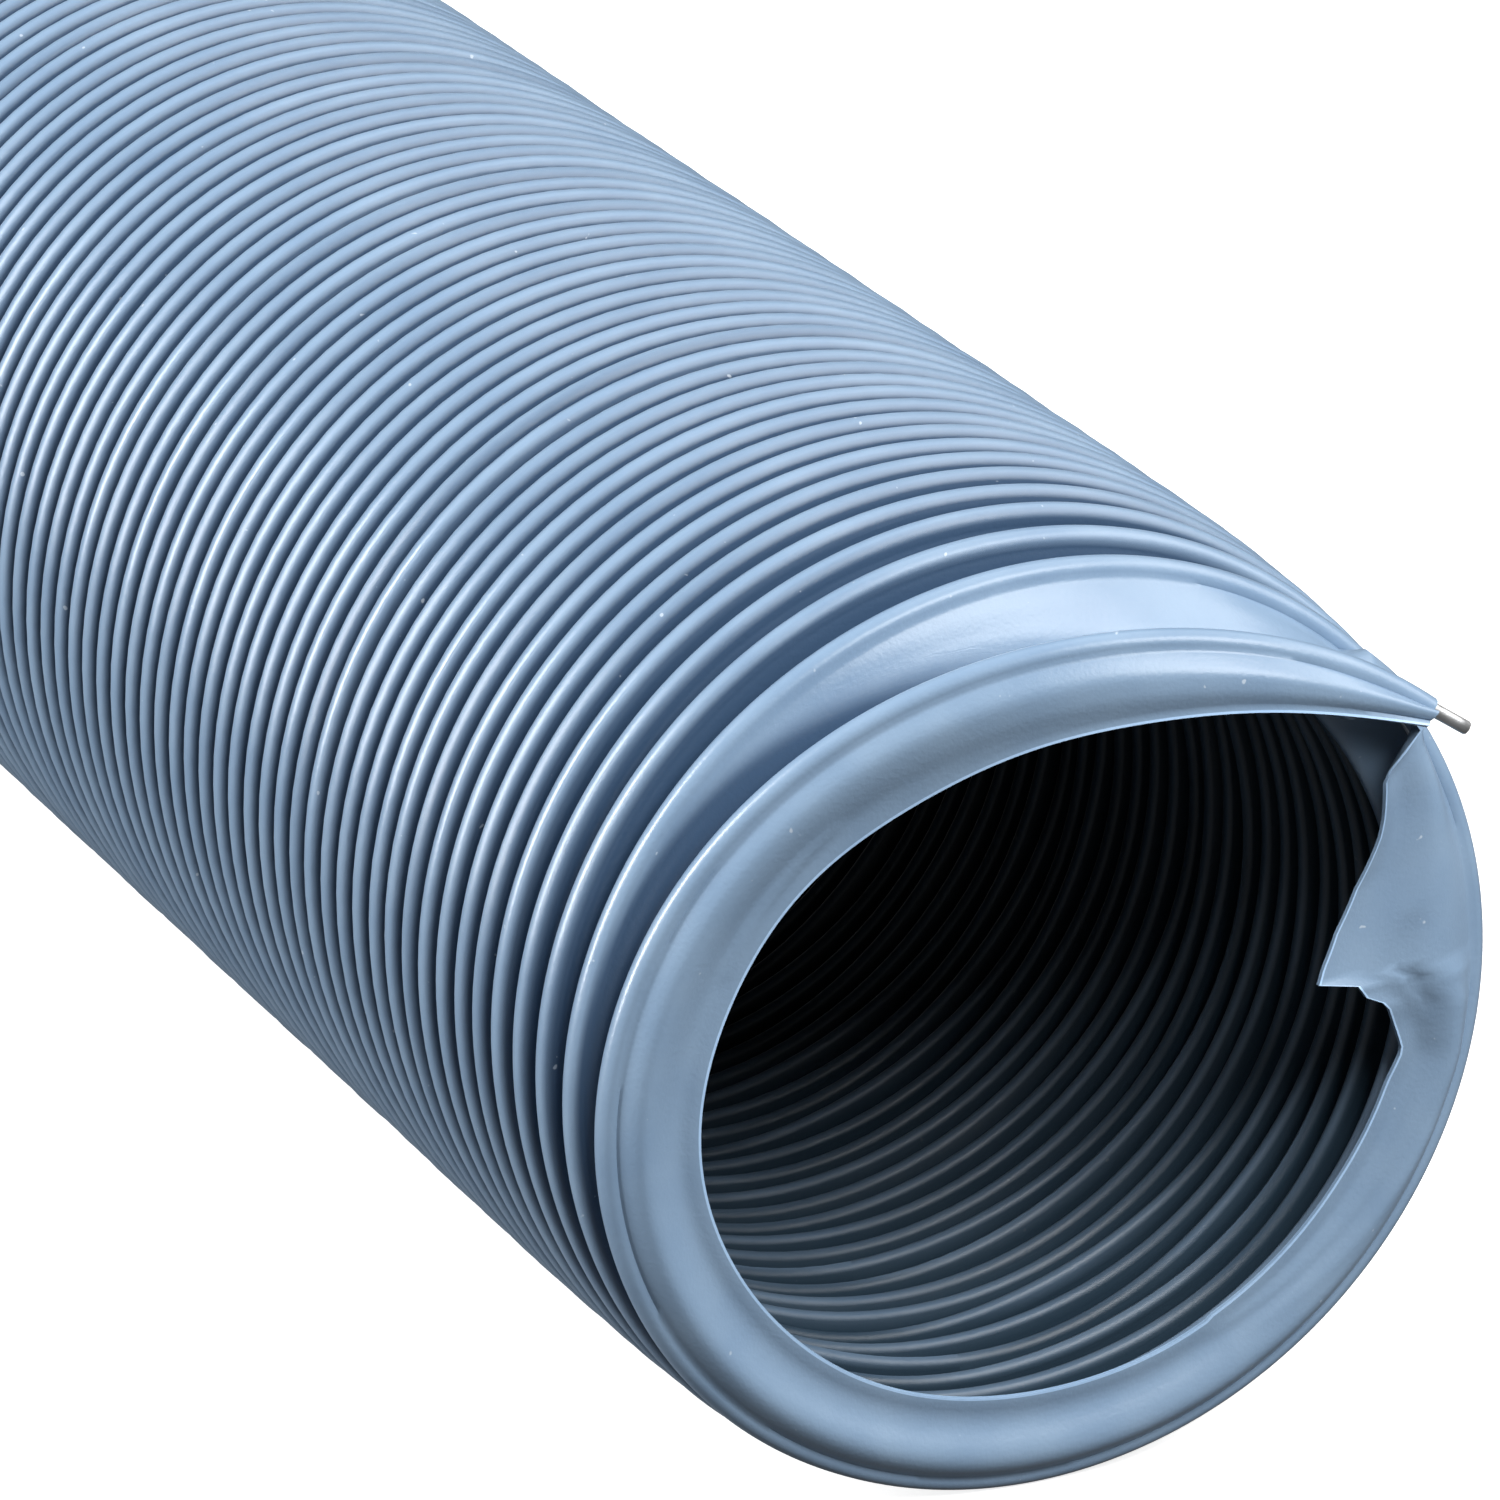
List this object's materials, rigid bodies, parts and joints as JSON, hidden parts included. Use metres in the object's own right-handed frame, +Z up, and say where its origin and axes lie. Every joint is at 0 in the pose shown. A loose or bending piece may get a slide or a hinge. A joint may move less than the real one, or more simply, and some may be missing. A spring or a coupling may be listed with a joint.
{
  "type": "flexible drain hose",
  "caption": "Spiral-wound vinyl drain hose lying squeezed together, its folded film wall held open by a spring-wire helix, with a cut, loosened front end.",
  "frame": {"origin": "middle of the squeezed hose, on the level floor that its beads rest on", "axes": "+X along the hose towards its cut, loosened front end, +Z up"},
  "size_m": [0.2502, 0.085, 0.085],
  "materials": {
    "vinyl_film": "soft gloss pale blue-grey vinyl film",
    "spring_steel": "bright drawn spring wire"
  },
  "bodies": {
    "root": {"film_wall": "vinyl_film", "spring_wire": "spring_steel"}
  },
  "joints": []
}
